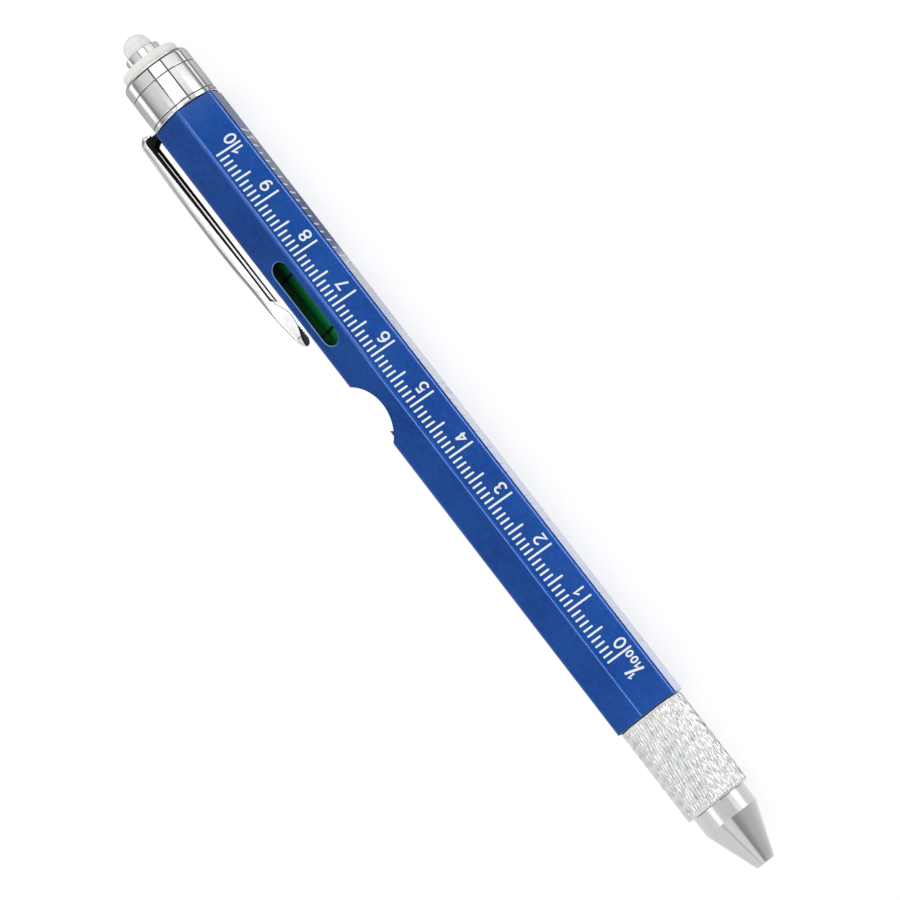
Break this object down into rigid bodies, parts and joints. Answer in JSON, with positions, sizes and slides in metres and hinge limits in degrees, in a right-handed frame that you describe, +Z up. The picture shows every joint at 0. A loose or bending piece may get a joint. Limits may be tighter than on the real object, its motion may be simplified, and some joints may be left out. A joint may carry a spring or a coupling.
{
  "type": "multi tool pen",
  "caption": "Six-sided metal tool pen with twist grip, printed scale, bottle opener notch, spirit level, spring clip and push lamp.",
  "frame": {"origin": "on the barrel's bottom flat, opposite the level window, under the zero line of the printed centimetre scale", "axes": "+X along the pen from the writing tip to the lamp, +Z up through the level window, +Y toward the clip's side"},
  "size_m": [0.1638, 0.0156, 0.0124],
  "materials": {
    "blue_paint": "gloss with fine metallic flake",
    "chrome": "polished",
    "satin_aluminium": "satin, knurled on the grip",
    "dark_steel": "satin",
    "steel": "satin",
    "brass": "satin",
    "clear_acrylic": "clear polished",
    "green_fluid": "clear tinted liquid",
    "bubble_air": "clear",
    "black_plastic": "matte",
    "white_plastic": "matte",
    "milky_plastic": "milky translucent",
    "led_epoxy": "frosted clear",
    "black_rubber": "matte"
  },
  "bodies": {
    "barrel": {"barrel": "blue_paint", "opener_block": "dark_steel", "opener_tooth": "dark_steel", "level_vial": "clear_acrylic", "level_line_front": "black_plastic", "level_line_rear": "black_plastic", "level_plug_front": "white_plastic", "level_plug_rear": "white_plastic", "level_fluid": "green_fluid", "clip_ring": "chrome", "button_cell_1": "steel", "button_cell_2": "steel", "button_cell_3": "steel", "battery_spring": "steel", "battery_contact": "brass", "battery_stop": "white_plastic", "mechanism_housing": "black_plastic"},
    "bubble": {"level_bubble": "bubble_air"},
    "clip": {"clip_arm": "chrome"},
    "head": {"head_body": "chrome", "head_cap": "chrome", "button_spring": "steel"},
    "lamp_button": {"light_button": "milky_plastic", "led_collar": "chrome", "led": "led_epoxy", "led_lead": "brass"},
    "grip": {"grip_sleeve": "satin_aluminium", "grip_core": "brass", "friction_ring": "black_rubber", "twist_cam": "brass"},
    "nose": {"nose_cone": "satin_aluminium"},
    "refill": {"refill_carrier": "black_plastic", "refill_tube": "steel", "refill_tip": "brass", "refill_ball": "steel"}
  },
  "joints": [
    {"name": "grip_twist", "type": "hinge", "parent": "barrel", "child": "grip", "pos_m": [-0.0097, 0, 0.0057], "axis": [1, 0, 0], "range_deg": [0, 180]},
    {"name": "refill_extend", "type": "slide", "parent": "barrel", "child": "refill", "axis": [-1, 0, 0], "range_m": [0, 0.0045]},
    {"name": "nose_unscrew", "type": "slide", "parent": "grip", "child": "nose", "axis": [-1, 0, 0], "range_m": [0, 0.006]},
    {"name": "head_unscrew", "type": "slide", "parent": "barrel", "child": "head", "axis": [1, 0, 0], "range_m": [0, 0.006]},
    {"name": "lamp_press", "type": "slide", "parent": "head", "child": "lamp_button", "axis": [-1, 0, 0], "range_m": [0, 0.001], "stiffness_N_per_m": 600, "deforming": ["button_spring"]},
    {"name": "clip_flex", "type": "hinge", "parent": "barrel", "child": "clip", "pos_m": [0.1101, 0.0058, 0.00905], "axis": [0, 0.5, -0.866], "range_deg": [0, 5], "stiffness_Nm_per_rad": 0.8},
    {"name": "bubble_drift", "type": "slide", "parent": "barrel", "child": "bubble", "axis": [1, 0, 0], "range_m": [-0.0108, 0]}
  ],
  "couplings": [
    {"joint": "grip_twist", "follows": "refill_extend", "rad_per_m": 698.13}
  ]
}
